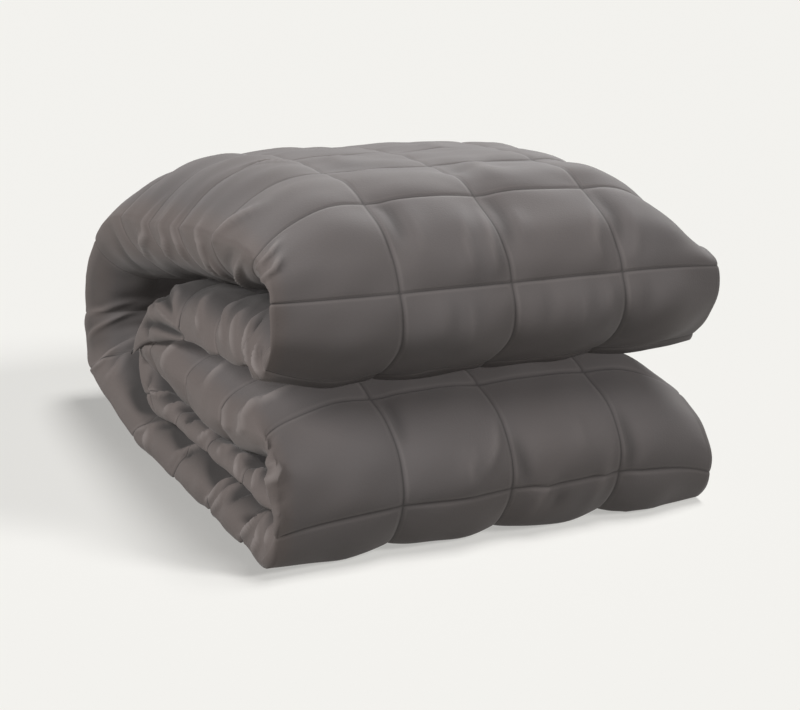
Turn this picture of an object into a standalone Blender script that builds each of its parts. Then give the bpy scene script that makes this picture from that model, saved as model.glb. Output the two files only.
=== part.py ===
"""A weighted blanket, quilted in squares and folded into a bundle: one filled solid.

The blanket is first folded along its length, so that four leaves make one thick quilted
strip with a rounded fold at each side. The strip is then folded back and forth into five
layers. The front shows two rolled folds, one above the other. The strip's two ends lie
inside, and a hollow is left in front of the big bend at the back.

X runs across the bundle, Y from the front to the back, Z up. It rests on z = 0.
"""

import bmesh
import bpy
import numpy as np

MM = 0.001
NAME = "quilted_blanket"
COLLECTION = "weighted_blanket"

# Driving sizes of the quilting
CELL_LOFT = 8.5 * MM        # how far a square's crown stands above its stitch lines, outside
SEAM_LOFT = 2.5 * MM        # how far a stitch line rises between two crossings
INSIDE_SEAM_LOFT = 1.0 * MM
SIDE_LOFT = 4.0 * MM        # crown of the squares on the rounded side folds
INSIDE_LOFT = 2.0 * MM      # crown of the squares on the strip's inner face
PRESSED = 0.3               # share of its loft left to an outer face that lies on another layer
TOP_LOFT = 0.42             # share of its loft on the top of the bundle, which lies flatter
LOFT_ROWS = (3.6, 4.1, 4.6, 5.0, 6.2, 7.0, 12.5, 13.5, 17.0, 18.0, 18.5, 19.0, 19.6)
LOFT_SHARES = (PRESSED, 1, 0.9, 0.55, 0.6, TOP_LOFT, TOP_LOFT, 0.8, 0.9, 1, 0.6, 0.6, PRESSED)
SIDE_ROWS = (1.0, 1.5, 3.4, 4.0, 6.0, 7.0, 10.0, 11.0, 11.5, 12.0, 14.0, 15.0, 17.4, 18.0, 20.0, 21.0)
SIDE_SHARES = (0.4, 0.8, 1, 0.2, 0.3, 0.5, 0.5, 0.4, 0.8, 0.3, 0.4, 0.7, 0.7, 0.3, 0.3, 0.2)
LOFT_SPREAD = 0.22          # how much the squares differ in loft
CROWN_POWER = 3.2           # higher gives a flatter crown and a steeper stitch groove
SHOULDER_POWER = 2.3        # roundness of the strip where it falls to its side folds
BLUNT_ROWS = (12, 18.5)     # between these rows the left side turns from a drape to a roll
SEED = 11

# Stitch columns across the strip, in metres: outer face left to right, then inner face
OUTER_COLUMNS = np.array([-184, -89, -1, 91, 188]) * MM
INNER_COLUMNS = np.array([142, 71, 0, -69, -138]) * MM
COLUMNS = 10
LEFT_FOLD = 9               # loop column where the left side fold begins
STITCHED = (1, 2, 3, 6, 7, 8)   # stitched loop columns; the cloth folds over at the sides

# Facets to a square: round the strip's loop, and along its length
OUTER_FACETS, SIDE_FACETS, INNER_FACETS = 6, 4, 2
SHOWN_FACETS, HIDDEN_FACETS = 6, 4
SHOWN_ROWS = (3, 20)
GATHER = 0.45               # 0 spaces the facets evenly, near 1 packs them at the stitches

# The fold: one row for each stitch row or bend along the strip, in millimetres.
# row: count of squares from the first hem. out, in: outer and inner face (y, z) at the middle.
# left_out, left_in: edges (y, z) of the left side fold, at x left and at a tuck inside it. At
# the right side fold, at x right, the strip sinks by droop, and its outer face closes on the
# inner one by a share, pinch.
FOLD = [
    # row    out          in          left_out     left_in     droop pinch  left tuck right
    (0.0,     50, 141,    50, 147,    66, 104,    52, 132,      8, 0.3,   -184, 46, 188),  # first hem
    (0.3,     24, 133,    24, 160,    38, 120,    36, 140,     10, 0.3,   -184, 46, 188),
    (1.0,    -39, 132,   -39, 178,   -50, 136,   -14, 150,     16, 0.35,  -184, 46, 188),
    (2.0,   -123, 132,  -123, 182,  -139, 140,  -104, 160,     20, 0.4,   -184, 46, 188),
    (3.0,   -182, 132,  -162, 185,  -206, 145,  -172, 168,     20, 0.4,   -184, 46, 188),
    (4.0,   -213, 129,  -184, 185,  -238, 149,  -218, 168,     20, 0.5,   -184, 40, 188),
    (4.5,   -252, 162,  -196, 186,  -251, 169,  -243, 172,     20, 0.5,   -184, 40, 188),  # upper nose
    (5.0,   -250, 196,  -204, 194,  -252, 198,  -247, 194,     20, 0.5,   -184, 40, 188),
    (5.5,   -230, 225,  -196, 202,  -243, 213,  -232, 203,     21, 0.6,   -184, 44, 188),
    (6.0,   -189, 250,  -184, 203,  -221, 223,  -192, 195,     23, 0.7,   -184, 46, 188),
    (7.0,   -113, 261,  -113, 203,  -141, 224,  -132, 184,     25, 0.75,  -184, 46, 188),  # top layer
    (8.0,    -40, 262,   -40, 201,   -48, 216,   -82, 177,     26, 0.75,  -184, 46, 188),
    (9.0,     38, 256,    30, 196,    29, 207,    -4, 168,     26, 0.75,  -184, 46, 188),
    (10.0,   121, 241,   108, 183,   115, 199,    68, 154,     26, 0.7,   -184, 46, 188),
    (11.0,   195, 202,   162, 157,   206, 163,   164, 134,     16, 0.6,   -184, 46, 188),
    (12.0,   244, 127,   185, 116,   252, 101,   196, 106,      4, 0.4,   -184, 46, 188),  # back bend
    (13.0,   224,  45,   162,  70,   234,  36,   180,  62,      8, 0.2,   -186, 46, 188),
    (14.0,   133,   7,    94,  39,    88,  15,    48,  42,     10, 0.1,   -188, 44, 188),
    (15.0,    30,   7,     9,  36,   -30,  15,   -48,  40,     12, 0.1,   -188, 40, 188),  # floor layer
    (16.0,   -72,   7,   -76,  36,  -118,  15,  -134,  40,     12, 0.1,   -188, 36, 186),
    (17.0,  -174,   7,  -161,  37,  -194,  13,  -204,  40,     12, 0.1,   -187, 34, 183),
    (17.6,  -232,  10,  -210,  45,  -242,   9,  -232,  42,     14, 0.2,   -185, 32, 181),
    (18.0,  -255,  43,  -219,  58,  -257,  32,  -244,  48,     20, 0.3,   -184, 32, 180),  # lower nose
    (18.5,  -245,  81,  -217,  77,  -256,  74,  -246,  70,     20, 0.5,   -183, 30, 180),
    (19.0,  -200, 108,  -196,  87,  -238,  98,  -228,  76,     18, 0.6,  -183, 24, 181),
    (20.0,  -122, 115,  -122,  87,  -144,  88,  -142,  68,     18, 0.65,   -183, 20, 184),
    (21.0,   -39, 116,   -39,  87,   -56,  88,   -54,  70,     22, 0.7,   -183, 20, 188),
    (22.0,    36, 111,    28,  87,    36,  92,    32,  76,     22, 0.6,   -184, 20, 188),
    (22.65,   92,  90,    50,  80,    90,  78,    50,  73,     20, 0.4,   -184, 24, 188),  # inner bend
    (23.0,    84,  58,    44,  67,    62,  55,    36,  62,     20, 0.3,   -184, 20, 188),
    (24.0,     4,  51,     0,  67,   -28,  52,   -24,  58,     20, 0.3,   -184, 20, 188),
    (25.0,   -76,  51,   -76,  67,  -106,  52,  -102,  58,     20, 0.3,   -184, 20, 188),
    (26.0,  -146,  51,  -146,  67,  -186,  52,  -180,  58,     16, 0.3,   -184, 20, 188),
    (26.7,  -188,  53,  -188,  66,  -232,  50,  -222,  57,     12, 0.3,   -183, 20, 188),
    (27.0,  -204,  56,  -204,  66,  -245,  49,  -234,  56,     10, 0.3,   -182, 20, 188),  # second hem
]
PINCH = 9                   # place of pinch in a row, the one value that isn't a length
LAST_ROW = int(FOLD[-1][0])

CLOTH_COLOUR = (0.105, 0.096, 0.092, 1.0)
CLOTH_ROUGHNESS = 0.85


def clear_scene():
    for item in list(bpy.data.objects):
        bpy.data.objects.remove(item, do_unlink=True)


def smooth_rows(rows):
    """The fold table at any row count, as a smooth curve through its lines."""
    table = np.array(FOLD, dtype=float)
    knots, values = table[:, 0], table[:, 1:]
    values[:, np.arange(values.shape[1]) != PINCH] *= MM
    slopes = np.gradient(values, knots, axis=0)
    line = np.clip(np.searchsorted(knots, rows, side="right") - 1, 0, len(knots) - 2)
    span = (knots[line + 1] - knots[line])[:, None]
    t = (rows[:, None] - knots[line][:, None]) / span
    ahead, behind = t * t * (3 - 2 * t), t * t * (t - 1)
    lead = t * (1 - t) ** 2
    return (values[line] * (1 - ahead) + values[line + 1] * ahead
            + (slopes[line] * lead + slopes[line + 1] * behind) * span)


def stations(facets):
    """Sample points along a run of squares, each cut into its own facets, denser at a stitch."""
    points = []
    for square, count in enumerate(facets):
        share = np.arange(count) / count
        points.append(square + share - GATHER * np.sin(2 * np.pi * share) / (2 * np.pi))
    return np.append(np.concatenate(points), len(facets))


def shoulder(share, bluntness=0.0):
    """The rise from a side fold to the flat of the strip, rounder where it is blunt."""
    return (1 - (1 - np.clip(share, 0, 1)) ** SHOULDER_POWER) ** (1 / (1 + bluntness))


def strip_points(rows, column):
    """Points of the strip's smooth skin, one for each row of the fold and loop column.

    Columns 0 to 4 cross the outer face, 4 to 5 wrap the right side, 5 to 9 cross the inner
    face and 9 to 10 wrap the left side.
    """
    fold = smooth_rows(rows)
    out, inner, left_out, left_in = (fold[:, start:start + 2] for start in (0, 2, 4, 6))
    droop, pinch = fold[:, 8:9] * [0, 1], fold[:, 9:10]
    right_out, right_in = out + (inner - out) * pinch - droop, inner - droop
    left, tucked, right = fold[:, 10], fold[:, 10] + fold[:, 11], fold[:, 12]
    bluntness = np.interp(rows, BLUNT_ROWS, (0, 1))[:, None]
    points = np.empty((len(rows), len(column), 3))
    for index, place in enumerate(column):
        if place <= 4:
            x = (np.interp(place, range(5), OUTER_COLUMNS)
                 + (left - OUTER_COLUMNS[0]) * max(0, 1 - place)
                 + (right - OUTER_COLUMNS[4]) * max(0, place - 3))
            from_left, from_right = shoulder(place, bluntness), shoulder(4 - place)
            flat = left_out + (out - left_out) * from_left + (right_out - out) * (1 - from_right)
        elif place < 5:
            angle = (place - 4) * np.pi / 2
            x = INNER_COLUMNS[0] + (right - INNER_COLUMNS[0]) * np.cos(angle)
            flat = right_out + (right_in - right_out) * np.sin(angle)
        elif place <= LEFT_FOLD:
            x = np.interp(place - 5, range(5), INNER_COLUMNS) + (tucked - INNER_COLUMNS[4]) * max(
                0, place - LEFT_FOLD + 1)
            from_right, from_left = shoulder(place - 5), shoulder(LEFT_FOLD - place)
            flat = right_in + (inner - right_in) * from_right + (left_in - inner) * (1 - from_left)
        else:
            angle = (COLUMNS - place) * np.pi / 2
            x = tucked + (left - tucked) * np.cos(angle)
            flat = left_out + (left_in - left_out) * np.sin(angle)
        points[:, index, 0] = x
        points[:, index, 1:] = flat
    return points


def crown(distance):
    """Height over a square, by its distance to a line of stitches in squares."""
    return 1 - np.abs(1 - 2 * np.minimum(distance, 0.5)) ** CROWN_POWER


def loft(rows, column):
    """How far each point stands off the strip's smooth skin."""
    draw = np.random.default_rng(SEED)
    spread = draw.uniform(1 - LOFT_SPREAD, 1 + LOFT_SPREAD, (LAST_ROW + 1, COLUMNS))
    lines = np.concatenate([np.array(STITCHED) + turn for turn in (-COLUMNS, 0, COLUMNS)])
    across = np.abs(column[:, None] - lines).min(axis=1)
    across, along = np.meshgrid(across, np.abs(rows - np.round(rows)))
    height = np.interp(column, (0, 0.6, 3.4, 4, 4.5, 5, 9, 9.5, 10),
                       (SIDE_LOFT, CELL_LOFT, CELL_LOFT, SIDE_LOFT, SIDE_LOFT, INSIDE_LOFT,
                        INSIDE_LOFT, SIDE_LOFT, SIDE_LOFT))
    at_side = np.interp(column, (0, 0.6, 4, 4.3, 5, 5.4, 9, 9.3, 10),
                        (1, 0, 0, 1, 1, 0, 0, 1, 1))
    free = np.where(column < 4, np.interp(rows, LOFT_ROWS, LOFT_SHARES)[:, None], 1.0)
    free = free + (np.interp(rows, SIDE_ROWS, SIDE_SHARES)[:, None] - free) * at_side
    size = spread[np.minimum(rows.astype(int), LAST_ROW)][:, column.astype(int) % COLUMNS]
    seam = np.maximum(crown(across), crown(along)) * np.where(column <= 5, SEAM_LOFT,
                                                              INSIDE_SEAM_LOFT)
    return (height * crown(across) * crown(along) * size + seam) * free


def outward(points):
    """Unit normals of the grid of points, closed round its loop."""
    along = np.gradient(points, axis=0)
    around = np.roll(points, -1, axis=1) - np.roll(points, 1, axis=1)
    normal = np.cross(around, along)
    return normal / np.maximum(np.linalg.norm(normal, axis=2, keepdims=True), 1e-9)


def blanket_points():
    """Every point of the finished blanket, as rows along the strip by columns round it."""
    rows = stations([SHOWN_FACETS if square in range(*SHOWN_ROWS) else HIDDEN_FACETS
                     for square in range(LAST_ROW)])
    column = stations([OUTER_FACETS] * 4 + [SIDE_FACETS] + [INNER_FACETS] * 4
                      + [SIDE_FACETS])[:-1]
    points = strip_points(rows, column)
    return points + outward(points) * loft(rows, column)[:, :, None]


def settled(points):
    """Flat where it rests, with its box centred over the origin."""
    points[:, :, 2] = np.maximum(points[:, :, 2], 0)
    low, high = points.min(axis=(0, 1)), points.max(axis=(0, 1))
    points[:, :, :2] -= ((low + high) / 2)[:2]
    return points


def cloth_material():
    material = bpy.data.materials.new("brushed_cloth")
    material.use_nodes = True
    shader = material.node_tree.nodes["Principled BSDF"]
    shader.inputs["Base Color"].default_value = CLOTH_COLOUR
    shader.inputs["Roughness"].default_value = CLOTH_ROUGHNESS
    shader.inputs["Metallic"].default_value = 0.0
    return material


def build_blanket(collection):
    points = settled(blanket_points())
    rows, loop = points.shape[:2]
    mesh = bpy.data.meshes.new(NAME)
    body = bmesh.new()
    bmesh.ops.create_grid(body, x_segments=loop, y_segments=rows - 1, size=1.0)
    body.verts.ensure_lookup_table()
    for index, vert in enumerate(body.verts):
        row, column = divmod(index, loop + 1)
        vert.co = points[row, column % loop]
    bmesh.ops.remove_doubles(body, verts=body.verts, dist=0.00001)
    hems = [edge for edge in body.edges if edge.is_boundary]
    bmesh.ops.holes_fill(body, edges=hems, sides=0)
    bmesh.ops.triangulate(body, faces=body.faces)
    bmesh.ops.recalc_face_normals(body, faces=body.faces)
    body.to_mesh(mesh)
    body.free()
    mesh.shade_smooth()
    mesh.materials.append(cloth_material())
    blanket = bpy.data.objects.new(NAME, mesh)
    collection.objects.link(blanket)
    return blanket


def main():
    clear_scene()
    collection = bpy.data.collections.new(COLLECTION)
    bpy.context.scene.collection.children.link(collection)
    build_blanket(collection)


main()
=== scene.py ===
"""A folded weighted blanket: its quilted cloth, floor, lights and camera, as panel tools."""

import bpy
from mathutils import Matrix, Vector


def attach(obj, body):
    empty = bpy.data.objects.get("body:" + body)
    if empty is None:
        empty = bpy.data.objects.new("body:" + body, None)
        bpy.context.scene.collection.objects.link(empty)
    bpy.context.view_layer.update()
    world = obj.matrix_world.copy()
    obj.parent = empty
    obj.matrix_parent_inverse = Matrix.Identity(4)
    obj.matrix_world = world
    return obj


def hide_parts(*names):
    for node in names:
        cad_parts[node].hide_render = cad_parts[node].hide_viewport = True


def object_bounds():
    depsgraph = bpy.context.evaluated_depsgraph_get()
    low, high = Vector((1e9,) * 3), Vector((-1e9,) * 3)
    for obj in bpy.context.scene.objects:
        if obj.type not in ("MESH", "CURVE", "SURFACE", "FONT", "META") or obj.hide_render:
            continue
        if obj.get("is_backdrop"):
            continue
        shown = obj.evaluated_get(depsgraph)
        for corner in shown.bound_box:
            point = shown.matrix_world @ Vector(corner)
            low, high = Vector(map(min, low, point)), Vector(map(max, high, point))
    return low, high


bl_info = {
    "name": "Folded Weighted Blanket",
    "version": (1, 0, 0),
    "blender": (4, 5, 0),
    "location": "3D View > Sidebar > Blanket",
    "description": "Builds a quilted weighted blanket folded into a bundle, and its stage",
    "category": "Object",
}

import bmesh
import bpy
import numpy as np
from bpy.props import FloatProperty, FloatVectorProperty, IntProperty, PointerProperty
from mathutils import Euler, Vector

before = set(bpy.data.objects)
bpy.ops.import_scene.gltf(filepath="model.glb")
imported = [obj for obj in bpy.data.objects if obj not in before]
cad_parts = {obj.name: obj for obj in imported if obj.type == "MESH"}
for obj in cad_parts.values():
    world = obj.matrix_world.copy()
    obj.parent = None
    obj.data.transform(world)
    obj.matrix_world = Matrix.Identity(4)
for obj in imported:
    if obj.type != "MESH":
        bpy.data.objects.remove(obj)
CAD_LOW, CAD_HIGH = (np.array(corner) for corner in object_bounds())

MM = 0.001
NODE = "quilted_blanket"
PIECE = "blanket_cloth"
# The second layer holds painted light and shade: painted highlights on ridges, painted shade in troughs
# and tucks
SEAM_LAYER, PAINTED_LIGHT_LAYER = "seam_distance", "nap_tone"
IMAGE_WIDTH = 800           # pixels that the focal length is counted in

# The folded strip. Stitch columns run round its loop, in metres: the outer face from left to
# right, then the inner face from right to left. A side fold closes each side.
OUTER_COLUMNS = np.array([-184, -89, -1, 91, 188]) * MM
INNER_COLUMNS = np.array([142, 71, 0, -69, -138]) * MM
BLUNT_ROWS = (12, 18.5)     # between these rows the left side turns from a drape to a roll
EVEN_ROWS, EVEN_SHARES = (17.4, 17.9, 18.6, 19.0, 19.4), (0, 1, 1, 0.4, 0)  # an even bend
COLUMNS = 10
RIGHT_FOLD, INNER_FACE, LEFT_FOLD = 4, 5, 9     # loop columns where these three begin
COUNTED_DOWN = 6            # from this column on, the loop may also be counted down from 0

# One row for each stitch row or bend along the strip, in millimetres. row: count of squares
# from the first hem. out, in: outer and inner face (y, z) at the middle. left_out, left_in:
# edges (y, z) of the left side fold, at x left and at a tuck inside it; right: x of the right
# side fold, where the strip sinks by droop and its outer face closes on the inner one by a
# share, pinch.
FOLD = [
    # row    out          in          left_out     left_in     droop pinch  left tuck right
    (0.0,     50, 141,    50, 147,    76,  86,    54, 134,      8, 0.3,   -191, 52, 188),  # first hem
    (0.3,     24, 133,    24, 163,    48, 103,    36, 148,     10, 0.3,   -188, 50, 188),
    (1.0,    -39, 132,   -39, 181,   -52, 128,   -14, 159,     16, 0.35,  -184, 46, 188),
    (2.0,   -123, 132,  -123, 184,  -139, 137,  -104, 168,     20, 0.4,   -184, 46, 188),
    (3.0,   -182, 132,  -162, 185,  -206, 145,  -172, 176,     20, 0.3,   -184, 46, 188),
    (4.0,   -213, 129,  -184, 185,  -238, 149,  -218, 168,     20, 0.36,  -184, 40, 188),
    (4.5,   -252, 162,  -196, 186,  -251, 169,  -243, 172,     17, 0.46,  -184, 40, 188),  # upper nose
    (5.0,   -250, 196,  -204, 194,  -252, 198,  -247, 194,      7, 0.46,  -184, 40, 188),
    (5.5,   -230, 225,  -196, 202,  -243, 213,  -232, 203,     14, 0.6,   -184, 44, 188),
    (6.0,   -189, 250,  -184, 203,  -221, 223,  -192, 195,     23, 0.7,   -184, 46, 188),
    (7.0,   -113, 261,  -113, 203,  -141, 224,  -132, 184,     25, 0.75,  -184, 46, 188),  # top layer
    (8.0,    -40, 262,   -40, 201,   -48, 216,   -82, 177,     26, 0.75,  -184, 46, 188),
    (9.0,     38, 256,    30, 196,    29, 207,    -4, 168,     26, 0.75,  -184, 46, 188),
    (10.0,   121, 241,   108, 183,   115, 199,    68, 154,     26, 0.7,   -184, 46, 188),
    (11.0,   195, 202,   162, 157,   206, 163,   164, 134,     16, 0.6,   -184, 46, 188),
    (12.0,   245, 112,   185, 107,   252,  86,   196,  97,      4, 0.4,   -184, 46, 188),  # back bend
    (13.0,   224,  45,   162,  70,   234,  36,   180,  62,      8, 0.2,   -186, 46, 188),
    (14.0,   133,   7,    94,  39,    88,  11,    48,  42,     10, 0.1,   -188, 44, 188),
    (15.0,    30,   7,     9,  36,   -30,  10,   -48,  40,     12, 0.1,   -188, 40, 188),  # floor layer
    (16.0,   -72,   7,   -76,  36,  -118,  10,  -134,  40,     12, 0.1,   -188, 36, 186),
    (17.0,  -174,   7,  -161,  37,  -194,  10,  -204,  40,     12, 0.1,   -188, 34, 183),
    (17.6,  -232,  10,  -210,  45,  -241,  11,  -232,  42,     14, 0.2,   -186, 32, 181),
    (18.0,  -255,  43,  -219,  58,  -257,  34,  -248,  46,     20, 0.3,   -186, 32, 180),  # lower nose
    (18.5,  -245,  81,  -217,  77,  -256,  74,  -249,  70,     20, 0.5,   -186, 30, 180),
    (19.0,  -200, 108,  -196,  87,  -238,  98,  -230,  78,     18, 0.6,   -185, 24, 181),
    (20.0,  -122, 115,  -122,  87,  -144,  88,  -142,  68,     18, 0.65,   -183, 20, 184),
    (21.0,   -39, 116,   -39,  87,   -56,  92,   -54,  70,     22, 0.7,   -183, 20, 188),
    (22.0,    36, 111,    28,  87,    36,  99,    32,  76,     22, 0.6,   -183, 20, 188),
    (22.65,   92,  90,    50,  80,    88,  82,    50,  73,     20, 0.4,   -179, 24, 188),  # inner bend
    (23.0,    84,  58,    44,  67,    62,  55,    36,  62,     20, 0.3,   -181, 20, 188),
    (24.0,     4,  51,     0,  67,   -28,  52,   -24,  58,     20, 0.3,   -184, 20, 188),
    (25.0,   -76,  51,   -76,  67,  -106,  52,  -102,  58,     20, 0.3,   -184, 20, 188),
    (26.0,  -146,  51,  -146,  67,  -186,  52,  -180,  58,     16, 0.3,   -184, 20, 188),
    (26.7,  -188,  53,  -188,  66,  -232,  50,  -222,  57,     12, 0.3,   -183, 20, 188),
    (27.0,  -204,  56,  -204,  66,  -245,  49,  -234,  56,     10, 0.3,   -182, 20, 188),  # second hem
]
DIMENSIONS = [0, 1, 2, 3, 4, 5, 6, 7, 8, 10, 11, 12]    # all of a row's values but pinch
LAST_ROW = int(FOLD[-1][0])

# Loft of the squares: the rows or loop columns of each table, then the shares reached there
STITCHED = (1, 2, 3, 6, 7, 8)   # loop columns that are stitched; the cloth folds over the sides
SHOULDER_POWER = 2.3        # roundness of the strip where it falls to its side folds
CROWN_POWER = 2.6           # flatness of a square's crown
PRESSED = 0.3               # share of its loft left to an outer face that lies on another layer
TOP_LOFT = 0.42             # share of its loft on the top of the bundle
LOFT_ROWS = (3.6, 4.1, 4.6, 5.0, 6.2, 7.0, 12.5, 13.5, 17.0, 18.0, 18.5, 19.0, 19.6)
LOFT_SHARES = (PRESSED, 1, 0.9, 0.55, 0.6, TOP_LOFT, TOP_LOFT, 0.8, 0.9, 1, 0.6, 0.6, PRESSED)
# The side folds' own loft
SIDE_ROWS = (3.4, 4.0, 6.0, 7.0, 10.0, 11.0, 11.5, 12.0, 13.5, 14.2, 17.2, 18.0, 19.0, 20.0,
             22.0, 22.6, 23.2, 26.4)
SIDE_SHARES = (1.2, 0.2, 0.3, 0.6, 0.6, 0.4, 0.8, 0.4, 0.5, 1.5, 1.5, 0.4, 0.3, 0.9, 0.9, 0.4,
               1.4, 1.4)
# Where the left side's lower edge runs straight, its loft held back
HEM_ROWS = (3.0, 3.6, 13.2, 13.8, 17.3, 17.9, 22.8, 23.2)
HEM_HOLDS = (1, 0, 0, 1, 1, 0, 0, 1)
HEM_COLUMNS, HEM_SHARES = (-1, -0.5, 0, 0.6), (1, 1, 0.25, 1)
LOFT_COLUMNS = (0, 0.6, 3.4, 4, 4.5, 5, 9, 9.5, 10)     # where each loft of the look is reached
SIDE_COLUMNS, SIDE_HOLDS = (0, 0.6, 4, 4.3, 5, 5.4, 9, 9.3, 10), (1, 0, 0, 1, 1, 0, 0, 1, 1)
CALM_COLUMNS, CALM_SHARES = (3.5, 4, 5, 5.5), (1, 0.4, 0.4, 1)      # flatter right side fold
LOFT_SPREAD = 0.22          # how much the squares differ
LOFT_SEED, UNEVEN_SEED = 11, 3
UNEVEN_LENGTHS = (0.35, 0.9)    # shortest and longest wave of the unevenness, in squares
WAVE_COUNT = 12

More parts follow.
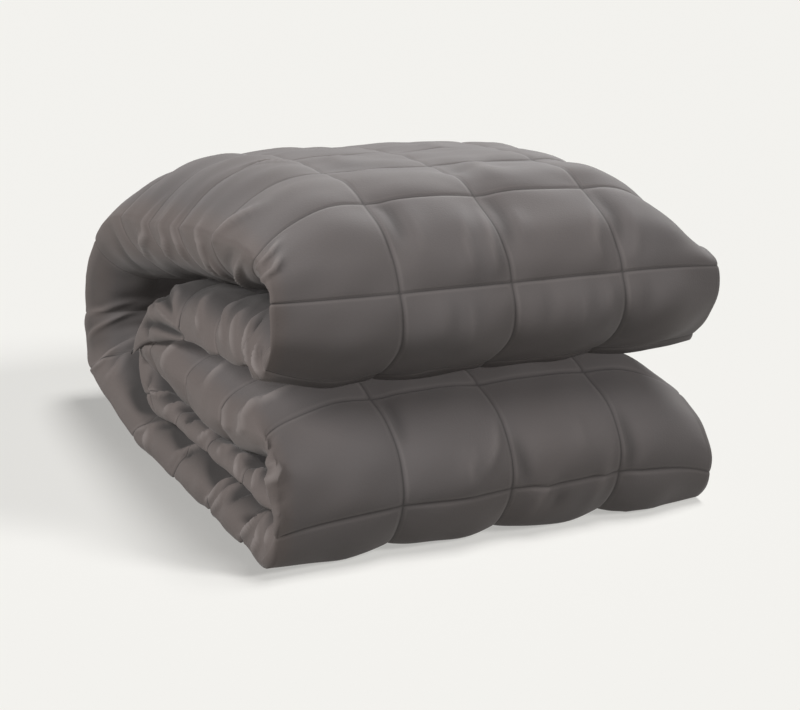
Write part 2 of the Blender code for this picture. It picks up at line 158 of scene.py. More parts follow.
# Soft ridges and troughs of the cloth: height and half width in millimetres, then the points
# it runs through, each a row and a loop column. Columns of the left side fold are below 0.
CREASES = [
    # the top layer's left side
    (4.3, 4.5, (9.06, 0.15), (9.16, -0.12), (9.5, -0.28), (9.86, -0.46)),
    (4.3, 3.6, (8.42, 0.1), (8.42, -0.13), (8.72, -0.4)),
    (3.6, 3.6, (8.1, 0.12), (8.1, -0.16), (8.24, -0.42)),
    (4.9, 3.6, (7.45, 0.1), (7.3, -0.1), (7.32, -0.31), (7.44, -0.56)),
    (3.8, 3.6, (7.24, -0.25), (7.16, -0.45), (7.24, -0.62)),
    (3.8, 4.5, (6.5, 0.3), (6.85, 0.12), (7.0, -0.06)),
    (5.2, 4.5, (6.24, -0.1), (6.55, -0.4), (6.95, -0.75)),
    (-2, 6, (6.5, -0.05), (6.8, -0.35)),
    (3.8, 3, (5.9, 0.22), (5.8, 0.1), (5.76, -0.05)),
    (4.3, 3, (5.7, 0.16), (5.55, 0.06), (5.5, -0.1)),
    (-2, 5.5, (10.3, -0.05), (10.45, -0.4), (10.6, -0.8)),
    # the back
    (2.8, 6, (12.0, -0.08), (11.96, -0.4), (11.7, -0.75)),
    (3, 5, (12.5, -0.1), (12.3, -0.35), (12.05, -0.7)),
    (-1, 7, (12.3, -0.3), (12.2, -0.6), (12.1, -0.9)),
    (4.9, 4.5, (13.05, -0.02), (13.02, -0.3), (12.9, -0.6), (12.7, -0.85)),
    (3.8, 3.6, (13.3, -0.2), (13.2, -0.45), (13.0, -0.7)),
    # the first layer's left side, below the top one
    (4.6, 4.5, (2.2, -0.7), (2.28, -0.4), (2.34, -0.12)),
    (4.9, 4.5, (2.72, -0.62), (2.66, -0.3), (2.66, 0.0)),
    (4.9, 4.5, (3.05, -0.6), (3.16, -0.3), (3.0, -0.06)),
    (4.3, 3.6, (3.3, -0.3), (3.5, -0.05)),
    (4.9, 4.5, (3.6, -0.4), (3.78, -0.15), (3.9, 0.05)),
    (4.3, 4.5, (1.6, -0.62), (1.62, -0.35), (1.5, -0.1)),
    (2.4, 3, (0.12, -0.5), (0.38, -0.36), (0.6, -0.12)),
    (-4, 4, (0.1, -0.75), (0.5, -0.55), (0.9, -0.3)),
    (2.4, 3, (0.45, -0.7), (0.8, -0.55), (0.95, -0.2)),
    (-3.5, 4, (0.15, -0.3), (0.35, -0.2), (0.45, 0.0)),
    (-5, 4, (0.3, -0.62), (0.42, -0.45), (0.6, -0.5)),
    (-7, 4.5, (0.3, -0.26), (0.55, -0.18), (0.82, -0.11), (1.02, -0.05)),
    (3, 2.4, (0.25, -0.55), (0.5, -0.4), (0.74, -0.27), (1.05, -0.12)),
    # the layer over the lower nose
    (4.6, 5.4, (21.6, 0.3), (21.5, 0.12), (21.45, -0.1)),
    (4.3, 5.4, (20.6, 0.35), (20.5, 0.15), (20.42, 0.0)),
    (4.9, 5.4, (19.35, 0.5), (19.3, 0.25), (19.45, 0.02), (19.6, -0.2)),
    (3.8, 4.5, (19.9, 0.1), (19.8, -0.15)),
    (-2.2, 3.6, (18.95, 0.1), (18.82, -0.1), (18.7, -0.4)),
    (2.2, 3.4, (18.68, 0.1), (18.55, -0.05), (18.45, -0.4)),
    (-2.2, 3.6, (18.38, 0.08), (18.27, -0.1), (18.2, -0.4)),
    (2.8, 2, (19.0, 0), (18.82, -0.06), (18.62, 0.03), (18.42, -0.06), (18.2, 0.02), (18.0, -0.04)),
    # the last layer's edge, under it
    (5.2, 4.5, (22.9, -0.2), (23.1, -0.4), (23.3, -0.8)),
    (5.2, 4.5, (23.75, -0.1), (23.8, -0.5), (23.9, -0.9)),
    (-4.3, 5.4, (24.3, -0.3), (24.5, -0.8)),
    (4.9, 4.5, (24.8, -0.1), (24.92, -0.45), (24.9, -0.9)),
    (5.2, 4.5, (25.4, -0.2), (25.5, -0.7)),
    (5.2, 4.5, (25.93, 0.0), (25.85, -0.4), (25.8, -0.9)),
    (4.9, 4.5, (26.4, -0.1), (26.3, -0.8)),
    # the floor layer's left side
    (-4, 9, (13.5, -0.5), (13.8, -0.45), (13.95, -0.6)),
    (-4, 8, (14.5, -0.62), (14.85, -0.5), (14.95, -0.35)),
    (-4, 8, (15.5, -0.66), (15.85, -0.5), (15.98, -0.35)),
    (4.6, 4.5, (14.0, -0.08), (14.12, -0.39), (14.35, -0.6), (14.65, -0.75)),
    (4.3, 4.5, (14.16, -0.4), (14.36, -0.05)),
    (4.9, 5.4, (14.9, -0.2), (14.92, -0.4), (15.15, -0.65), (15.4, -0.85)),
    (4.9, 5.4, (15.94, -0.06), (16.05, -0.31), (16.14, -0.62)),
    (4.6, 4.5, (16.12, -0.03), (16.3, -0.35), (16.4, -0.7)),
    (-4.3, 6.3, (16.5, -0.4), (16.7, -0.85)),
    (5.5, 4.5, (16.95, -0.05), (17.2, -0.36), (17.45, -0.6)),
    (4.9, 4.5, (17.3, -0.05), (17.5, -0.3), (17.5, -0.6)),
    (4.3, 3.6, (17.8, -0.1), (17.75, -0.5)),
    # deeper tucks between the layers
    (-4, 6, (14.0, -0.34), (14.25, -0.5), (14.5, -0.62)),
    (-3.5, 6, (14.95, -0.4), (15.15, -0.52)),
    (-4.5, 5.5, (16.88, -0.28), (17.1, -0.42), (17.32, -0.58)),
    (-4, 4.5, (22.78, -0.4), (22.95, -0.18), (23.3, -0.06)),
    (-3.5, 4, (3.18, -0.58), (3.3, -0.4)),
    (-3.5, 4, (3.72, -0.36), (3.86, -0.18)),
    # the noses' faces and the top
    (-2.6, 6, (6.0, 1.1), (5.85, 1.16), (5.5, 1.14)),
    (1.6, 6, (5.9, 1.32), (5.6, 1.3), (5.3, 1.22)),
    (2.2, 5, (5.8, 1.76), (5.45, 1.66), (5.1, 1.64)),
    (2.4, 5, (5.85, 1.95), (5.35, 1.87), (5.04, 1.86)),
    (-2.4, 6, (6.0, 2.08), (5.75, 2.12), (5.35, 2.06)),
    (1.8, 5, (5.8, 2.24), (5.4, 2.18)),
    (2.2, 5, (5.75, 2.94), (5.35, 2.8), (5.1, 2.8)),
    (-2.4, 6, (5.95, 3.06), (5.65, 3.1), (5.3, 3.05)),
    (1.8, 6, (5.7, 3.24), (5.4, 3.18), (5.05, 3.08)),
    (1.6, 5, (4.9, 1.36), (4.5, 1.32)),
    (1.8, 5, (4.92, 1.6), (4.4, 1.56)),
    (-1.6, 6, (4.95, 2.3), (4.5, 2.24)),
    (1.8, 5, (4.95, 2.62), (4.45, 2.56)),
    (1.6, 5, (4.95, 2.85), (4.5, 2.82)),
    (-1.6, 6, (4.9, 3.2), (4.5, 3.16)),
    (2.0, 9, (7.1, 2.4), (6.6, 2.32), (6.1, 2.3)),
    (-1.8, 9, (7.05, 2.15), (6.6, 2.12), (6.2, 2.1)),
    (1.6, 9, (7.9, 1.4), (7.5, 1.3), (7.1, 1.3)),
    (1.6, 8, (8.6, 2.6), (8.2, 2.5), (7.9, 2.5)),
    (2.6, 4, (8.15, 0.62), (8.0, 0.85), (7.8, 1.0)),
    (2.4, 4, (7.9, 0.6), (7.8, 0.8), (7.62, 0.92)),
    (-2.2, 6, (19.0, 1.1), (18.75, 1.1), (18.5, 1.07)),
    (2.0, 5, (18.45, 1.66), (18.25, 1.58), (18.02, 1.62)),
    (2.2, 5, (18.7, 1.95), (18.4, 1.85), (18.15, 1.68)),
    (-2.6, 6, (18.5, 2.05), (18.2, 2.1), (18.0, 2.16)),
    (2.4, 5, (18.15, 2.4), (17.95, 2.28), (17.7, 2.2)),
    (-2.2, 6, (17.95, 2.5), (17.8, 2.4)),
    (2.2, 5, (18.3, 2.92), (17.95, 2.84), (17.7, 2.74)),
    (-2.6, 6, (18.6, 3.05), (18.2, 3.1), (17.95, 3.1)),
    (1.6, 6, (18.6, 2.62), (18.2, 2.6)),
]

CREASE_REACH = 3            # half widths to which a crease is worked out
CREASE_ENDS = (0.03, 0.97)  # shares of a crease's length where its taper stops
CREASE_TAPER = 0.6

FULL_PAINTED_LIGHT_HEIGHT = 5 * MM        # height of a ridge with the full painted highlight, and depth of a trough with full painted shade
# Painted shade where the left side is tucked in, by row and by column
TUCK_SHADE_ROWS = (2.8, 3.4, 5.6, 6.2, 10.0, 11.5, 12.5, 13.5, 17.5, 18.0, 22.5, 23.0, 24.5)
TUCK_PAINTED_SHADES = (0.9, 0.5, 0.4, 0.5, 0.3, 0.1, 0.3, 1, 1, 0.7, 0.7, 1, 0.75)
TUCK_SHADE_COLUMNS, TUCK_SHADE_SHARES = (-1.6, -0.66, -0.26, 0), (1.3, 1, 0, 0)
BACK_SHADE_ROWS, BACK_PAINTED_SHADES = (10.2, 11.0, 12.6, 13.2), (0, 0.5, 0.5, 0)      # painted shade on the back's left side
BACK_SHADE_COLUMNS, BACK_SHADE_SHARES = (-1, -0.5, -0.2, 0.12), (0, 0.4, 1, 0)
LOST_ROWS = (11.6, 11.8, 12.2, 12.4, 17.8, 17.9, 19.1, 19.2)    # seams lost in the side's folds
LOST_SHARES = (0, 1, 1, 0, 0, 1, 1, 0)
LOST_COLUMNS = (-0.2, 0.06)     # wholly lost left of the first, whole right of the second
LOST_SEAM = 8 * MM          # distance added to a seam that the folds hide

# Mesh density: cuts to a square, gathered towards the stitch lines
OUTER_CUTS, LEFT_CUTS, RIGHT_CUTS, INNER_CUTS = 22, 30, 14, 4
SHOWN_CUTS, TUCKED_CUTS = 28, 16
SHOWN_ROWS = (0, *range(3, 19), 26)
GATHER = 0.5                # 0 spaces the cuts evenly, near 1 packs them at the stitches


def smooth_rows(rows):
    """The fold table at any row count, as a smooth curve through its lines."""
    table = np.array(FOLD, dtype=float)
    knots, values = table[:, 0], table[:, 1:]
    values[:, DIMENSIONS] *= MM
    slopes = np.gradient(values, knots, axis=0)
    line = np.clip(np.searchsorted(knots, rows, side="right") - 1, 0, len(knots) - 2)
    span = (knots[line + 1] - knots[line])[:, None]
    t = (rows[:, None] - knots[line][:, None]) / span
    ahead, behind = t * t * (3 - 2 * t), t * t * (t - 1)
    lead = t * (1 - t) ** 2
    return (values[line] * (1 - ahead) + values[line + 1] * ahead
            + (slopes[line] * lead + slopes[line + 1] * behind) * span)


def stations(cuts):
    """Sample points along a run of squares, denser at each stitch line."""
    points = []
    for cell, count in enumerate(cuts):
        t = np.arange(count) / count
        points.append(cell + t - GATHER * np.sin(2 * np.pi * t) / (2 * np.pi))
    return np.append(np.concatenate(points), len(cuts))


def shoulder(share, bluntness=0.0):
    """The rise from a side fold to the flat of the strip, rounder where it is blunt."""
    return (1 - (1 - np.clip(share, 0, 1)) ** SHOULDER_POWER) ** (1 / (1 + bluntness))


def strip_points(rows, column):
    """Points of the strip's smooth skin, one for each row and loop column.

    Columns 0 to 4 cross the outer face, 4 to 5 wrap the right side, 5 to 9 cross the inner
    face and 9 to 10 wrap the left side.
    """
    fold = smooth_rows(rows)
    out, inner, left_out, left_in = (fold[:, start:start + 2] for start in (0, 2, 4, 6))
    droop, pinch = fold[:, 8:9] * [0, 1], fold[:, 9:10]
    right_out, right_in = out + (inner - out) * pinch - droop, inner - droop
    left, tucked, right = fold[:, 10], fold[:, 10] + fold[:, 11], fold[:, 12]
    bluntness = np.interp(rows, BLUNT_ROWS, (0, 1))[:, None]
    even = np.interp(rows, EVEN_ROWS, EVEN_SHARES)[:, None]
    points = np.empty((len(rows), len(column), 3))
    for index, place in enumerate(column):
        if place <= RIGHT_FOLD:
            x = (np.interp(place, range(5), OUTER_COLUMNS)
                 + (left - OUTER_COLUMNS[0]) * max(0, 1 - place)
                 + (right - OUTER_COLUMNS[-1]) * max(0, place - RIGHT_FOLD + 1))
            from_left, from_right = shoulder(place, bluntness), shoulder(RIGHT_FOLD - place)
            from_left = from_left + even * (1 - max(0, 1 - place) ** 2 - from_left)
            flat = left_out + (out - left_out) * from_left + (right_out - out) * (1 - from_right)
        elif place < INNER_FACE:
            angle = (place - RIGHT_FOLD) * np.pi / 2
            x = INNER_COLUMNS[0] + (right - INNER_COLUMNS[0]) * np.cos(angle)
            flat = right_out + (right_in - right_out) * np.sin(angle)
        elif place <= LEFT_FOLD:
            x = (np.interp(place - INNER_FACE, range(5), INNER_COLUMNS)
                 + (tucked - INNER_COLUMNS[-1]) * max(0, place - LEFT_FOLD + 1))
            from_right, from_left = shoulder(place - INNER_FACE), shoulder(LEFT_FOLD - place)
            flat = right_in + (inner - right_in) * from_right + (left_in - inner) * (1 - from_left)
        else:
            angle = (COLUMNS - place) * np.pi / 2
            x = tucked + (left - tucked) * np.cos(angle)
            flat = left_out + (left_in - left_out) * np.sin(angle)
        points[:, index, 0] = x
        points[:, index, 1:] = flat
    return points


def outward(points):
    """Unit normals of a grid of points that closes round its loop."""
    along = np.gradient(points, axis=0)
    around = np.roll(points, -1, axis=1) - np.roll(points, 1, axis=1)
    normal = np.cross(around, along)
    return normal / np.maximum(np.linalg.norm(normal, axis=2, keepdims=True), 1e-9)


def crown(distance):
    """Height over a square, by its distance to a line of stitches in squares."""
    return 1 - np.abs(1 - 2 * np.minimum(distance, 0.5)) ** CROWN_POWER


def stitch_distance(rows, column):
    """Squares to the nearest stitched column and to the nearest row, for the whole grid."""
    lines = np.concatenate([np.array(STITCHED) + turn for turn in (-COLUMNS, 0, COLUMNS)])
    across = np.abs(column[:, None] - lines).min(axis=1)
    return np.meshgrid(across, np.abs(rows - np.round(rows)))


def waves(rows, column):
    """A smooth, uneven height between about -1 and 1 that joins up round the loop."""
    draw = np.random.default_rng(UNEVEN_SEED)
    height = 0
    for _ in range(WAVE_COUNT):
        length = draw.uniform(*UNEVEN_LENGTHS)
        turn = draw.uniform(0, 2 * np.pi)
        round_loop = round(COLUMNS * np.cos(turn) / length)
        along = np.sin(turn) / length
        phase = draw.uniform(0, 2 * np.pi)
        height = height + np.sin(2 * np.pi * (round_loop * column / COLUMNS + along * rows) + phase)
    return height / np.sqrt(2 * WAVE_COUNT)


def left_of_zero(column):
    """Loop columns with those of the left side fold and its inner face counted down from 0."""
    return np.where(column > COUNTED_DOWN, column - COLUMNS, column)


def lost_seams(rows, column):
    """Where the side's folds hide a seam, from 0 to 1."""
    return (np.interp(rows, LOST_ROWS, LOST_SHARES)[:, None]
            * np.interp(left_of_zero(column), LOST_COLUMNS, (1, 0)))


def creases(rows, column, square):
    """Height of the listed ridges and troughs, in metres."""
    place = np.stack(np.meshgrid(left_of_zero(column), rows), axis=2)
    height = np.zeros(place.shape[:2])
    for rise, width, *points in CREASES:
        line = np.array(points)[:, ::-1]
        steps = np.diff(line, axis=0)
        lengths = np.linalg.norm(steps, axis=1)
        travelled = np.append(0, np.cumsum(lengths))
        reach = CREASE_REACH * width * MM / square
        (left, low), (right, high) = line.min(axis=0) - reach, line.max(axis=0) + reach
        near = ((place[:, :, 0] > left) & (place[:, :, 0] < right)
                & (place[:, :, 1] > low) & (place[:, :, 1] < high))
        spots = place[near]
        nearest, share = np.full(len(spots), np.inf), np.zeros(len(spots))
        for start, step, length, before in zip(line, steps, lengths, travelled):
            along = np.clip((spots - start) @ step / length ** 2, 0, 1)
            distance = np.linalg.norm(spots - start - along[:, None] * step, axis=1)
            closer = distance < nearest
            nearest = np.where(closer, distance, nearest)
            share = np.where(closer, before + along * length, share)
        ends = np.sin(np.pi * np.clip(share / travelled[-1], *CREASE_ENDS)) ** CREASE_TAPER
        height[near] += rise * MM * ends * np.exp(-(nearest * square / (width * MM)) ** 2)
    return height


def loft(rows, column, look):
    """How far each point stands off the strip's smooth skin: crowns, seams and stitches."""
    draw = np.random.default_rng(LOFT_SEED)
    spread = draw.uniform(1 - LOFT_SPREAD, 1 + LOFT_SPREAD, (LAST_ROW + 1, COLUMNS))
    across, along = stitch_distance(rows, column)
    height = np.interp(column, LOFT_COLUMNS,
                       (look.side_loft, look.crown_loft, look.crown_loft, look.side_loft,
                        look.side_loft, look.inside_loft, look.inside_loft, look.side_loft,
                        look.side_loft))
    at_side = np.interp(column, SIDE_COLUMNS, SIDE_HOLDS)
    free = np.where(column < RIGHT_FOLD, np.interp(rows, LOFT_ROWS, LOFT_SHARES)[:, None], 1.0)
    free = free + (np.interp(rows, SIDE_ROWS, SIDE_SHARES)[:, None] - free) * at_side
    straight = 1 - ((1 - np.interp(left_of_zero(column), HEM_COLUMNS, HEM_SHARES))
                    * np.interp(rows, HEM_ROWS, HEM_HOLDS)[:, None])
    free = free * straight
    size = spread[np.minimum(rows.astype(int), LAST_ROW)][:, column.astype(int) % COLUMNS]
    square = crown(across) * crown(along)
    seam = np.maximum(crown(across), crown(along)) * look.seam_loft
    groove = np.exp(-(np.minimum(across, along) * look.square / look.groove_width) ** 2)
    groove = groove * (1 - lost_seams(rows, column))
    calm = np.interp(column, CALM_COLUMNS, CALM_SHARES)
    return ((height * square * size + seam) * free - groove * look.groove_depth) * calm


def blanket_points(look):
    """Every point of the finished cloth, and its row and loop column."""
    rows = stations([SHOWN_CUTS if cell in SHOWN_ROWS else TUCKED_CUTS
                     for cell in range(LAST_ROW)])
    column = stations([OUTER_CUTS] * 4 + [RIGHT_CUTS] + [INNER_CUTS] * 4 + [LEFT_CUTS])[:-1]
    points = strip_points(rows, column)
    round_loop, along = np.meshgrid(column, rows)
    uneven = waves(along, round_loop)
    height = (loft(rows, column, look) + look.unevenness * uneven
              + creases(rows, column, look.square))
    points += outward(points) * height[:, :, None]
    return settled(points), rows, column


def settled(points):
    """Flat where it rests, with its box centred on the solid's."""
    points[:, :, 2] = np.maximum(points[:, :, 2], 0)
    low, high = points.min(axis=(0, 1)), points.max(axis=(0, 1))
    points[:, :, :2] += ((CAD_LOW + CAD_HIGH) / 2 - (low + high) / 2)[:2]
    return points


def cloth_mesh(points, rows, column, square):
    """The grid of points as a closed mesh.

    Each point keeps its distance to a seam, and its painted light and shade: a painted highlight
    on ridges, painted shade in troughs, where the side is tucked in and on the back's left side.
    """
    count = len(column)
    body = bmesh.new()
    bmesh.ops.create_grid(body, x_segments=count, y_segments=len(rows) - 1, size=1.0)
    seam = body.verts.layers.float.new(SEAM_LAYER)
    tone = body.verts.layers.float.new(PAINTED_LIGHT_LAYER)
    painted_back_shade = np.interp(left_of_zero(column), BACK_SHADE_COLUMNS, BACK_SHADE_SHARES)
    metres = (np.minimum(*stitch_distance(rows, column)) * square
              + lost_seams(rows, column) * LOST_SEAM)
    # painted light and shade: a painted highlight on ridges, painted shade in troughs, tucks and on the
    # back's left side
    tucked = (np.interp(rows, TUCK_SHADE_ROWS, TUCK_PAINTED_SHADES)[:, None]
              * np.interp(left_of_zero(column), TUCK_SHADE_COLUMNS, TUCK_SHADE_SHARES))
    painted_tones = (creases(rows, column, square) / FULL_PAINTED_LIGHT_HEIGHT - tucked
             - np.interp(rows, BACK_SHADE_ROWS, BACK_PAINTED_SHADES)[:, None] * painted_back_shade)
    for index, vert in enumerate(body.verts):
        row, step = divmod(index, count + 1)
        vert.co = points[row, step % count]
        vert[seam] = metres[row, step % count]
        vert[tone] = painted_tones[row, step % count]
    bmesh.ops.remove_doubles(body, verts=body.verts, dist=0.00001)
    hems = [edge for edge in body.edges if edge.is_boundary]
    bmesh.ops.holes_fill(body, edges=hems, sides=0)
    bmesh.ops.recalc_face_normals(body, faces=body.faces)
    mesh = bpy.data.meshes.new(PIECE)
    body.to_mesh(mesh)
    body.free()
    mesh.shade_smooth()
    return mesh


class Value:
    """A number that may vary over a surface; sums and products of it add Math nodes."""

    def __init__(self, shading, socket):
        self.shading, self.socket = shading, socket

    def math(self, operation, *values):
        """A Math node on this number and any others."""
        inputs = {f"in{place}": value for place, value in enumerate((self, *values))}
        return self.shading.add("ShaderNodeMath", {"operation": operation}, **inputs)["Value"]

    def between(self, low, high, start=0.0, end=1.0):
        """This number, from start at low to end at high, with an easy curve at both ends."""
        return self.shading.add("ShaderNodeMapRange", {"interpolation_type": "SMOOTHSTEP"},
                                in0=self, in1=low, in2=high, in3=start, in4=end)["Result"]

    def __add__(self, other):
        return self.math("ADD", other)

    def __sub__(self, other):
        return self.math("SUBTRACT", other)

    def __rsub__(self, other):
        return (self * -1.0) + other

    def __mul__(self, other):
        return self.math("MULTIPLY", other)

    __radd__ = __add__
    __rmul__ = __mul__


class Shading:
    """Adds nodes to one material."""

    def __init__(self, material):
        material.use_nodes = True
        self.tree = material.node_tree
        self.shader = self.tree.nodes["Principled BSDF"]

    def put(self, socket, value):
        """Sets a socket, or links it where the value is another node's."""
        if isinstance(value, Value):
            self.tree.links.new(value.socket, socket)
        else:
            socket.default_value = value

    def add(self, kind, settings=None, **inputs):
        """A node of a kind, its settings first, then its sockets by name or as in0, in1."""
        node = self.tree.nodes.new(kind)
        for name, value in (settings or {}).items():
            setattr(node, name, value)
        for name, value in inputs.items():
            key = int(name[2:]) if name[:2] == "in" and name[2:].isdigit() else name
            self.put(node.inputs[key], value)
        return {socket.name: Value(self, socket) for socket in node.outputs if socket.enabled}

    def mix(self, share, first, second):
        """A colour between two others."""
        return self.add("ShaderNodeMix", {"data_type": "RGBA"},
                        in0=share, in6=first, in7=second)["Result"]

    def noise(self, place, scale, detail=2.0, roughness=0.5):
        """Soft uneven values around a half, by place."""
        return self.add("ShaderNodeTexNoise", None, Vector=place, Scale=scale, Detail=detail,
                        Roughness=roughness)["Fac"]


WARM_SIDE = (-0.182, -0.165)    # x, in metres, where the warmer left side begins and ends
WARM_PATCH, WARM_PATCH_SHARE = 0.35, 0.8    # patches of the warm colour: threshold, strength
FAINTEST_RIDGE = 0.1            # level of the painted light from which a ridge's painted highlight shows
PAINTED_RIM_WIDTHS = (1, 2, 3.5)               # seam widths where the painted highlight beside a seam rises, peaks, ends
NAP_ROUGHNESS = 0.1             # how much the roughness varies with the nap
NAP_HEIGHT = 0.6 * MM


def cloth_material(finish):
    """Brushed microfibre: dark warm grey, a soft nap with a sheen, painted shade along the lines of
    stitches and in troughs and tucks, and painted highlights on ridges and beside the seams.
    """
    material = bpy.data.materials.new("brushed_cloth")
    shading = Shading(material)
    place = shading.add("ShaderNodeTexCoord")["Object"]
    side = shading.add("ShaderNodeSeparateXYZ", None, Vector=place)["X"]
    metres = shading.add("ShaderNodeAttribute", {"attribute_name": SEAM_LAYER})["Fac"]
    seam = metres.between(0.0, finish.seam_width, 1.0, 0.0)
    patches = shading.noise(place, finish.patch_scale, 3.0)
    nap = shading.noise(place, finish.nap_scale, 2.0, 0.6)
    at_side = side.between(*WARM_SIDE, 1.0, 0.0)
    warmth = at_side.math("MAXIMUM", (patches - WARM_PATCH) * WARM_PATCH_SHARE)
    colour = shading.mix(warmth, finish.colour, finish.warm_colour)
    # painted light and shade of each point: above 0 a painted highlight on a ridge, below 0 painted
    # shade in a trough, a tuck or at the back
    tone = shading.add("ShaderNodeAttribute", {"attribute_name": PAINTED_LIGHT_LAYER})["Fac"]
    # a painted highlight on ridges and beside each seam
    rise, peak, end = (finish.seam_width * widths for widths in PAINTED_RIM_WIDTHS)
    painted_rim = metres.between(rise, peak) * metres.between(peak, end, 1.0, 0.0)
    light = tone.between(FAINTEST_RIDGE, 1.0, 0.0, finish.painted_highlight_strength).math(
        "MAXIMUM", painted_rim * finish.painted_rim_strength)
    colour = shading.mix(light, colour, finish.painted_highlight_colour)
    # painted shade in troughs, tucks and at the back, and along the seams, stronger on the left side
    painted_shade = (tone * -1.0).between(0.0, 1.0, 0.0, finish.painted_shade_strength)
    painted_seam_line = seam * (at_side * finish.side_seam_shade + finish.seam_shade)
    colour = shading.mix(painted_shade.math("MAXIMUM", painted_seam_line), colour, finish.painted_shade_colour)
    shading.put(shading.shader.inputs["Base Color"], colour)
    shading.put(shading.shader.inputs["Roughness"], finish.roughness + (nap - 0.5) * NAP_ROUGHNESS)
    shading.put(shading.shader.inputs["Specular IOR Level"], finish.gloss)
    shading.put(shading.shader.inputs["Sheen Weight"], finish.sheen)
    shading.put(shading.shader.inputs["Sheen Roughness"], finish.sheen_roughness)
    shading.put(shading.shader.inputs["Sheen Tint"], finish.sheen_tint)
    bump = shading.add("ShaderNodeBump", None, Strength=finish.nap_bump, Distance=NAP_HEIGHT,
                       Height=nap)["Normal"]
    shading.put(shading.shader.inputs["Normal"], bump)
    return material


class BlanketLook(bpy.types.PropertyGroup):
    """Sizes of the quilting."""

    square: FloatProperty(name="Square", description="Side of one stitched square",
                          default=90 * MM, min=0.02, unit="LENGTH")
    crown_loft: FloatProperty(name="Crown loft", description="Height of a square's crown",
                              default=6.5 * MM, unit="LENGTH")
    seam_loft: FloatProperty(name="Seam loft", description="Rise of a seam between crossings",
                             default=2.5 * MM, unit="LENGTH")
    side_loft: FloatProperty(name="Side loft", description="Height of the side folds' squares",
                             default=4 * MM, unit="LENGTH")
    inside_loft: FloatProperty(name="Inside loft", description="Height of the inner squares",
                               default=2 * MM, unit="LENGTH")
    groove_depth: FloatProperty(name="Groove depth", description="Dip along a line of stitches",
                                default=0.9 * MM, unit="LENGTH")
    groove_width: FloatProperty(name="Groove width", description="Half width of that dip",
                                default=1.4 * MM, unit="LENGTH")
    unevenness: FloatProperty(name="Unevenness", description="Height of the soft unevenness",
                              default=1.2 * MM, unit="LENGTH")


class ClothFinish(bpy.types.PropertyGroup):
    """Colour and feel of the cloth, with its painted highlights and painted shade."""

    colour: FloatVectorProperty(name="Colour", description="Main colour of the cloth",
                                subtype="COLOR", size=4, default=(0.060, 0.0535, 0.0525, 1.0))
    warm_colour: FloatVectorProperty(name="Warm colour", description="Where the nap lies over",
                                     subtype="COLOR", size=4, default=(0.067, 0.0555, 0.0515, 1.0))
    # colour of the painted shade along the seams and in troughs and tucks
    painted_shade_colour: FloatVectorProperty(name="Seam colour", description="Shaded line of a seam",
                                     subtype="COLOR", size=4, default=(0.013, 0.0115, 0.011, 1.0))
    sheen_tint: FloatVectorProperty(name="Sheen tint", description="Colour of the sheen",
                                    subtype="COLOR", size=4, default=(1.0, 0.96, 0.94, 1.0))
    roughness: FloatProperty(name="Roughness", description="How matt the cloth is", default=0.8,
                             min=0.0, max=1.0, subtype="FACTOR")
    gloss: FloatProperty(name="Gloss", description="Strength of the mirror-like part",
                         default=0.25, min=0.0, max=1.0, subtype="FACTOR")
    sheen: FloatProperty(name="Sheen", description="Strength of the soft sheen", default=0.06,
                         min=0.0, max=1.0, subtype="FACTOR")
    sheen_roughness: FloatProperty(name="Sheen roughness", description="Width of the sheen",
                                   default=0.45, min=0.0, max=1.0, subtype="FACTOR")
    # colour of the painted highlight on ridges and beside the seams
    painted_highlight_colour: FloatVectorProperty(name="Ridge colour", description="Nap on soft ridges",
                                      subtype="COLOR", size=4,
                                      default=(0.150, 0.132, 0.126, 1.0))
    # how strong the painted highlight on ridges is
    painted_highlight_strength: FloatProperty(name="Ridge tone", description="Strength of the ridges' colour",
                              default=0.6, min=0.0, max=1.0, subtype="FACTOR")
    # how strong the painted shade in troughs and tucks is
    painted_shade_strength: FloatProperty(name="Tuck tone", description="Strength of the dark in tucks",
                             default=0.92, min=0.0, max=1.0, subtype="FACTOR")
    # the seam lines are painted shade along the stitches, stronger on the left side
    seam_shade: FloatProperty(name="Seam shade", description="Strength of the seam lines",
                              default=0.5, min=0.0, max=1.0, subtype="FACTOR")
    side_seam_shade: FloatProperty(name="Side seam shade", description="More of it at the side",
                                   default=0.4, min=0.0, max=0.5, subtype="FACTOR")
    seam_width: FloatProperty(name="Seam width", description="Half width of a seam's line",
                              default=1.3 * MM, unit="LENGTH")
    # the light beside a seam is a painted highlight
    painted_rim_strength: FloatProperty(name="Seam rim", description="Strength of the light beside a seam",
                            default=0.1, min=0.0, max=1.0, subtype="FACTOR")
    patch_scale: FloatProperty(name="Patch scale", description="Soft patches to a metre",
                               default=14.0)
    nap_scale: FloatProperty(name="Nap scale", description="Grain of the nap to a metre",
                             default=700.0)
    nap_bump: FloatProperty(name="Nap bump", description="Strength of the nap", default=0.25,
                            min=0.0, max=1.0, subtype="FACTOR")


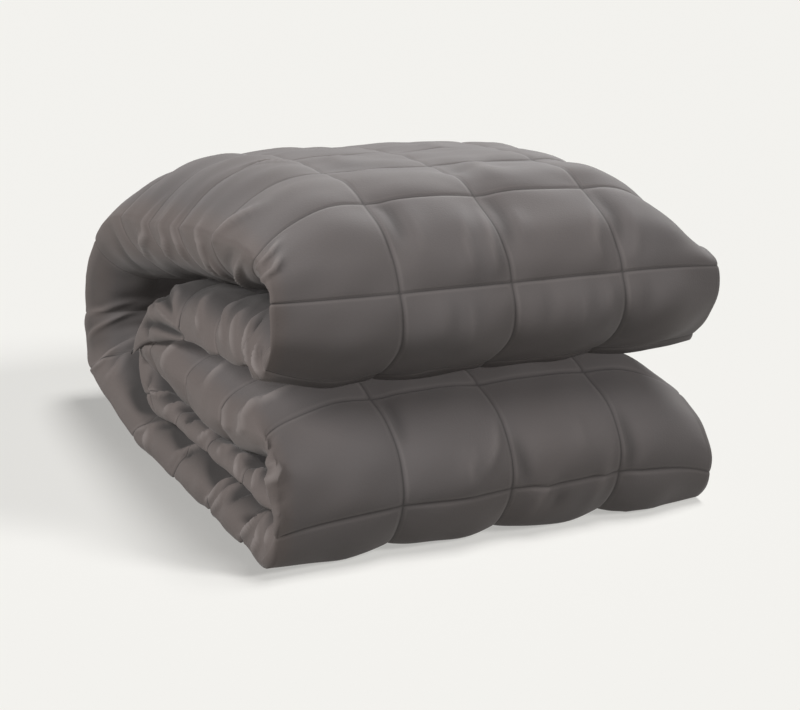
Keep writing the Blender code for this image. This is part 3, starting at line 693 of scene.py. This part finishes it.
class StageLook(bpy.types.PropertyGroup):
    """Floor, lights and camera."""

    floor_colour: FloatVectorProperty(name="Floor", description="Colour of the floor",
                                      subtype="COLOR", size=4, default=(0.50, 0.495, 0.477, 1.0))
    floor_glow: FloatVectorProperty(name="Floor glow", description="Light from under the floor",
                                    subtype="COLOR", size=4, default=(0.412, 0.408, 0.394, 1.0))
    backdrop: FloatVectorProperty(name="Backdrop", description="Colour behind the floor",
                                  subtype="COLOR", size=4, default=(0.905, 0.896, 0.864, 1.0))
    key: FloatProperty(name="Key light", description="Strength of the light from behind right",
                       default=3.9)
    side: FloatProperty(name="Side light", description="Strength of the light from the right",
                        default=2.15)
    fill: FloatProperty(name="Fill light", description="Strength of the light from the left",
                        default=5.0)
    front: FloatProperty(name="Front light", description="Strength of the light from the front",
                         default=1.3)
    low_sweep: FloatProperty(name="Low floor light", default=1.78,
                             description="Strength of the low light on the floor")
    high_sweep: FloatProperty(name="High floor light", default=1.15,
                              description="Strength of the high light on the floor")
    side_sweep: FloatProperty(name="Side floor light", default=1.03,
                              description="Strength of the light on the floor from the right")
    azimuth: FloatProperty(name="Azimuth", description="Side from which the camera looks",
                           default=np.radians(-24.75), subtype="ANGLE")
    elevation: FloatProperty(name="Elevation", description="Height of the camera's view",
                             default=np.radians(14.5), subtype="ANGLE")
    focal: IntProperty(name="Focal length", description="Focal length in pixels of the image",
                       default=1663, min=200)


class OBJECT_OT_fold_blanket(bpy.types.Operator):
    """Build the quilted blanket, folded into its bundle"""

    bl_idname = "object.fold_blanket"
    bl_label = "Fold Blanket"
    bl_options = {"REGISTER", "UNDO"}

    def execute(self, context):
        look, finish = context.scene.blanket_look, context.scene.cloth_finish
        mesh = cloth_mesh(*blanket_points(look), look.square)
        mesh.materials.append(cloth_material(finish))
        blanket = bpy.data.objects.new(PIECE, mesh)
        context.scene.collection.objects.link(blanket)
        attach(blanket, "root")
        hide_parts(NODE)
        return {"FINISHED"}


CAMERA_PLACE = Vector((-0.5575, -1.2650, 0.4423))
SENSOR_WIDTH = 36.0             # millimetres
FLOOR_SIZE = 60.0               # metres
FLOOR_ROUGHNESS = 0.9

# Lights on the blanket and on the floor: azimuth, elevation and width in degrees, and
# whether they cast a shadow
BLANKET_LIGHTS = {
    "key": (140, 35, 30, True),
    "side": (50, 35, 30, False),
    "fill": (-80, 35, 30, True),
    "front": (-20, 68, 30, False),
}
FLOOR_LIGHTS = {
    "low_sweep": (40, 32, 16, True),
    "high_sweep": (30, 70, 16, True),
    "side_sweep": (68, 77, 16, True),
}


def floor_piece(stage):
    """A broad plain floor with a faint glow of its own."""
    body = bmesh.new()
    bmesh.ops.create_grid(body, x_segments=1, y_segments=1, size=FLOOR_SIZE / 2)
    mesh = bpy.data.meshes.new("floor")
    body.to_mesh(mesh)
    body.free()
    material = bpy.data.materials.new("pale_floor")
    shading = Shading(material)
    shading.put(shading.shader.inputs["Base Color"], stage.floor_colour)
    shading.put(shading.shader.inputs["Emission Color"], stage.floor_glow)
    shading.put(shading.shader.inputs["Emission Strength"], 1.0)
    shading.put(shading.shader.inputs["Roughness"], FLOOR_ROUGHNESS)
    shading.put(shading.shader.inputs["Specular IOR Level"], 0.0)
    mesh.materials.append(material)
    return bpy.data.objects.new("floor", mesh)


def add_light(scene, name, strength, place, lit):
    """A soft light from far off that lights one object, placed by a line of the tables."""
    azimuth, elevation, width, shadow = place
    turn, rise = np.radians((azimuth, elevation))
    lamp = bpy.data.lights.new(name, "SUN")
    lamp.use_shadow = shadow
    lamp.energy, lamp.angle = strength, np.radians(width)
    light = bpy.data.objects.new(name, lamp)
    toward = Vector((np.sin(turn) * np.cos(rise), -np.cos(turn) * np.cos(rise), np.sin(rise)))
    light.rotation_euler = toward.to_track_quat("Z", "Y").to_euler()
    light.light_linking.receiver_collection = bpy.data.collections.new(f"lit_by_{name}")
    light.light_linking.receiver_collection.objects.link(lit)
    scene.collection.objects.link(light)


def add_camera(scene, stage):
    """A camera that looks level across the image, from the stage's two angles."""
    camera = bpy.data.cameras.new("camera")
    camera.sensor_width = SENSOR_WIDTH
    camera.lens = SENSOR_WIDTH * stage.focal / IMAGE_WIDTH
    holder = bpy.data.objects.new("camera", camera)
    holder.location = CAMERA_PLACE
    holder.rotation_euler = Euler((np.pi / 2 - stage.elevation, 0, stage.azimuth))
    scene.collection.objects.link(holder)
    scene.camera = holder


class OBJECT_OT_blanket_stage(bpy.types.Operator):
    """Lay the floor and set the lights and the camera"""

    bl_idname = "object.blanket_stage"
    bl_label = "Set Stage"
    bl_options = {"REGISTER", "UNDO"}

    def execute(self, context):
        scene, stage = context.scene, context.scene.blanket_stage
        floor = floor_piece(stage)
        scene.collection.objects.link(floor)
        floor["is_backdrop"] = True
        world = bpy.data.worlds.new("surround")
        scene.world = world
        world.use_nodes = True
        world.node_tree.nodes["Background"].inputs["Color"].default_value = stage.backdrop
        world.cycles_visibility.diffuse = world.cycles_visibility.glossy = False
        for lights, lit in ((BLANKET_LIGHTS, bpy.data.objects[PIECE]), (FLOOR_LIGHTS, floor)):
            for name, place in lights.items():
                add_light(scene, name, getattr(stage, name), place, lit)
        add_camera(scene, stage)
        scene.view_settings.view_transform = "Standard"
        return {"FINISHED"}


class VIEW3D_PT_blanket(bpy.types.Panel):
    """Tools that build the blanket and its stage"""

    bl_label = "Blanket"
    bl_idname = "VIEW3D_PT_blanket"
    bl_space_type = "VIEW_3D"
    bl_region_type = "UI"
    bl_category = "Blanket"

    def draw(self, context):
        layout = self.layout
        for group in ("blanket_look", "cloth_finish", "blanket_stage"):
            settings = getattr(context.scene, group)
            box = layout.box()
            for name in type(settings).__annotations__:
                box.prop(settings, name)
        layout.operator(OBJECT_OT_fold_blanket.bl_idname)
        layout.operator(OBJECT_OT_blanket_stage.bl_idname)


GROUPS = {"blanket_look": BlanketLook, "cloth_finish": ClothFinish, "blanket_stage": StageLook}
CLASSES = (*GROUPS.values(), OBJECT_OT_fold_blanket, OBJECT_OT_blanket_stage,
           VIEW3D_PT_blanket)


def register():
    """Add the settings, tools and panel to Blender."""
    for item in CLASSES:
        bpy.utils.register_class(item)
    for name, group in GROUPS.items():
        setattr(bpy.types.Scene, name, PointerProperty(type=group))


def unregister():
    """Take them out again."""
    for name in GROUPS:
        delattr(bpy.types.Scene, name)
    for item in reversed(CLASSES):
        bpy.utils.unregister_class(item)


def main():
    """Build the blanket and its stage."""
    register()
    bpy.ops.object.fold_blanket()
    bpy.ops.object.blanket_stage()


if __name__ == "__main__":
    main()
